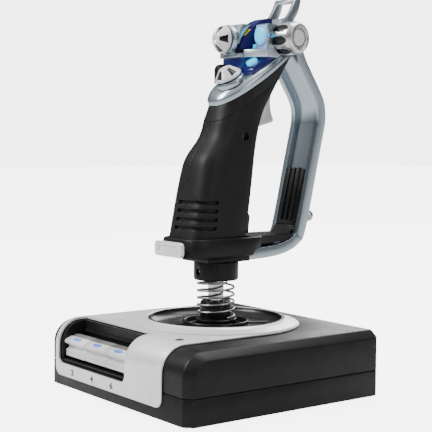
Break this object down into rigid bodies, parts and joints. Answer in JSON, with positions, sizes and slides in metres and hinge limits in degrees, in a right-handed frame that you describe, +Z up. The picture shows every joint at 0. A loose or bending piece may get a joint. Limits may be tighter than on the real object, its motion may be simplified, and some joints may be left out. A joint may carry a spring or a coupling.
{
  "type": "flight joystick",
  "caption": "Desktop flight joystick: square base with rocker toggles, sprung gimbal, contoured grip with hand guard, trigger, thumb hats, dial and lit buttons.",
  "frame": {"origin": "on the desk surface, under the middle of the whole object's box", "axes": "+Z up along the stick, +Y away from the pilot, +X to the pilot's right; the rocker toggles are at -Y"},
  "size_m": [0.19, 0.1952, 0.312],
  "materials": {
    "black_plastic": "fine satin texture",
    "dark_plastic": "smooth",
    "silver_paint": "satin silver paint on plastic",
    "blue_silver_paint": "pale blue-grey metallic paint",
    "chrome": "polished",
    "steel": "machined",
    "rubber": "matte",
    "pearl_plastic": "pearl white, semi gloss",
    "cyan_lens": "lit from inside, translucent",
    "blue_lens": "deep blue, translucent",
    "navy_plastic": "dark navy, gloss",
    "circuit_board": "green laminate"
  },
  "bodies": {
    "base": {"base_tray": "black_plastic", "base_cover": "black_plastic", "fascia_plate": "silver_paint", "dish": "dark_plastic", "dish_bezel": "silver_paint", "switch_bay": "dark_plastic", "toggle_axle": "steel", "gimbal_frame": "dark_plastic", "pitch_pin_left": "steel", "pitch_pin_right": "steel", "pitch_sensor": "circuit_board", "main_board": "circuit_board", "cable_gland": "rubber", "foot_front_left": "rubber", "foot_front_right": "rubber", "foot_rear_left": "rubber", "foot_rear_right": "rubber", "base_screw_front_left": "steel", "base_screw_front_right": "steel", "base_screw_rear_left": "steel", "base_screw_rear_right": "steel"},
    "pitch_ring": {"gimbal_ring": "dark_plastic", "roll_pin_front": "steel", "roll_pin_rear": "steel"},
    "roll_yoke": {"gimbal_yoke": "dark_plastic", "centring_spring": "chrome"},
    "handle": {"shaft": "chrome", "collar": "black_plastic", "collar_screw": "steel", "grip_shell_left": "black_plastic", "grip_shell_right": "black_plastic", "grip_screw": "steel", "guard": "blue_silver_paint", "head_shell": "black_plastic", "face_plate": "blue_silver_paint", "head_board": "circuit_board", "control_block": "blue_silver_paint", "light_panel": "blue_lens", "hat_1_socket": "silver_paint", "hat_2_socket": "silver_paint", "trigger_pin": "steel", "pinkie_pin": "steel", "cover_pin": "steel"},
    "rest": {"hand_rest": "black_plastic"},
    "tab": {"release_tab": "silver_paint"},
    "knob": {"lock_knob": "chrome"},
    "trigger_lever": {"trigger": "pearl_plastic"},
    "pinkie": {"pinkie_lever": "dark_plastic"},
    "cover": {"safety_cover": "blue_silver_paint"},
    "fire": {"fire_button": "navy_plastic"},
    "push_a": {"button_a": "cyan_lens"},
    "push_b": {"button_b": "cyan_lens"},
    "dial": {"mode_dial": "pearl_plastic"},
    "hat_1_mid": {"hat_1_ring": "steel"},
    "hat_1_top": {"hat_1_cap": "pearl_plastic"},
    "hat_2_mid": {"hat_2_ring": "steel"},
    "hat_2_top": {"hat_2_cap": "pearl_plastic"},
    "rocker_1": {"toggle_1": "pearl_plastic"},
    "rocker_2": {"toggle_2": "pearl_plastic"},
    "rocker_3": {"toggle_3": "pearl_plastic"}
  },
  "joints": [
    {"name": "stick_pitch", "type": "hinge", "parent": "base", "child": "pitch_ring", "pos_m": [0, -0.0008, 0.04], "axis": [1, 0, 0], "range_deg": [-15, 15], "stiffness_Nm_per_rad": 5},
    {"name": "stick_roll", "type": "hinge", "parent": "pitch_ring", "child": "roll_yoke", "pos_m": [0, -0.0008, 0.04], "axis": [0, 1, 0], "range_deg": [-15, 15], "stiffness_Nm_per_rad": 5},
    {"name": "stick_twist", "type": "hinge", "parent": "roll_yoke", "child": "handle", "pos_m": [0, -0.0008, 0.04], "axis": [0, 0, 1], "range_deg": [-15, 15], "stiffness_Nm_per_rad": 0.8},
    {"name": "hand_rest_slide", "type": "slide", "parent": "handle", "child": "rest", "axis": [0, 0.225, 0.9744], "range_m": [0, 0.025]},
    {"name": "release_tab_press", "type": "slide", "parent": "rest", "child": "tab", "axis": [0, 1, 0], "range_m": [0, 0.0022], "stiffness_N_per_m": 600},
    {"name": "lock_knob_turn", "type": "hinge", "parent": "handle", "child": "knob", "pos_m": [0.009, 0.0804, 0.137], "axis": [0, 0.9744, -0.225], "range_deg": [-90, 90]},
    {"name": "trigger_pull", "type": "hinge", "parent": "handle", "child": "trigger_lever", "pos_m": [0, 0.0542, 0.25], "axis": [-1, 0, 0], "range_deg": [0, 9], "stiffness_Nm_per_rad": 1},
    {"name": "pinkie_press", "type": "hinge", "parent": "handle", "child": "pinkie", "pos_m": [0, 0.0157, 0.138], "axis": [-1, 0, 0], "range_deg": [0, 8], "stiffness_Nm_per_rad": 1},
    {"name": "safety_cover_flip", "type": "hinge", "parent": "handle", "child": "cover", "pos_m": [0, 0.0597, 0.291], "axis": [1, 0, 0], "range_deg": [0, 95]},
    {"name": "fire_press", "type": "slide", "parent": "handle", "child": "fire", "axis": [0, 0, -1], "range_m": [0, 0.0018], "stiffness_N_per_m": 900},
    {"name": "button_a_press", "type": "slide", "parent": "handle", "child": "push_a", "axis": [0, 1, 0], "range_m": [0, 0.0018], "stiffness_N_per_m": 700},
    {"name": "button_b_press", "type": "slide", "parent": "handle", "child": "push_b", "axis": [0, 0.5299, -0.848], "range_m": [0, 0.0018], "stiffness_N_per_m": 700},
    {"name": "mode_dial_turn", "type": "hinge", "parent": "handle", "child": "dial", "pos_m": [0.0213, 0.0502, 0.277], "axis": [0.9903, 0.1392, 0], "range_deg": [-30, 30]},
    {"name": "hat_1_up_down", "type": "hinge", "parent": "handle", "child": "hat_1_mid", "pos_m": [-0.008, 0.0164, 0.276], "axis": [1, 0, 0], "range_deg": [-5, 5], "stiffness_Nm_per_rad": 0.3},
    {"name": "hat_1_left_right", "type": "hinge", "parent": "hat_1_mid", "child": "hat_1_top", "pos_m": [-0.008, 0.0164, 0.276], "axis": [0, 0, 1], "range_deg": [-5, 5], "stiffness_Nm_per_rad": 0.3},
    {"name": "hat_2_up_down", "type": "hinge", "parent": "handle", "child": "hat_2_mid", "pos_m": [0.005, 0.00917, 0.24134], "axis": [1, 0, 0], "range_deg": [-5, 5], "stiffness_Nm_per_rad": 0.3},
    {"name": "hat_2_left_right", "type": "hinge", "parent": "hat_2_mid", "child": "hat_2_top", "pos_m": [0.005, 0.00917, 0.24134], "axis": [0, 0.848, 0.5299], "range_deg": [-5, 5], "stiffness_Nm_per_rad": 0.3},
    {"name": "toggle_1_rock", "type": "hinge", "parent": "base", "child": "rocker_1", "pos_m": [-0.0598, -0.0818, 0.034], "axis": [1, 0, 0], "range_deg": [-10, 10], "stiffness_Nm_per_rad": 0.6},
    {"name": "toggle_2_rock", "type": "hinge", "parent": "base", "child": "rocker_2", "pos_m": [-0.03, -0.0818, 0.034], "axis": [1, 0, 0], "range_deg": [-10, 10], "stiffness_Nm_per_rad": 0.6},
    {"name": "toggle_3_rock", "type": "hinge", "parent": "base", "child": "rocker_3", "pos_m": [-0.0002, -0.0818, 0.034], "axis": [1, 0, 0], "range_deg": [-10, 10], "stiffness_Nm_per_rad": 0.6}
  ]
}
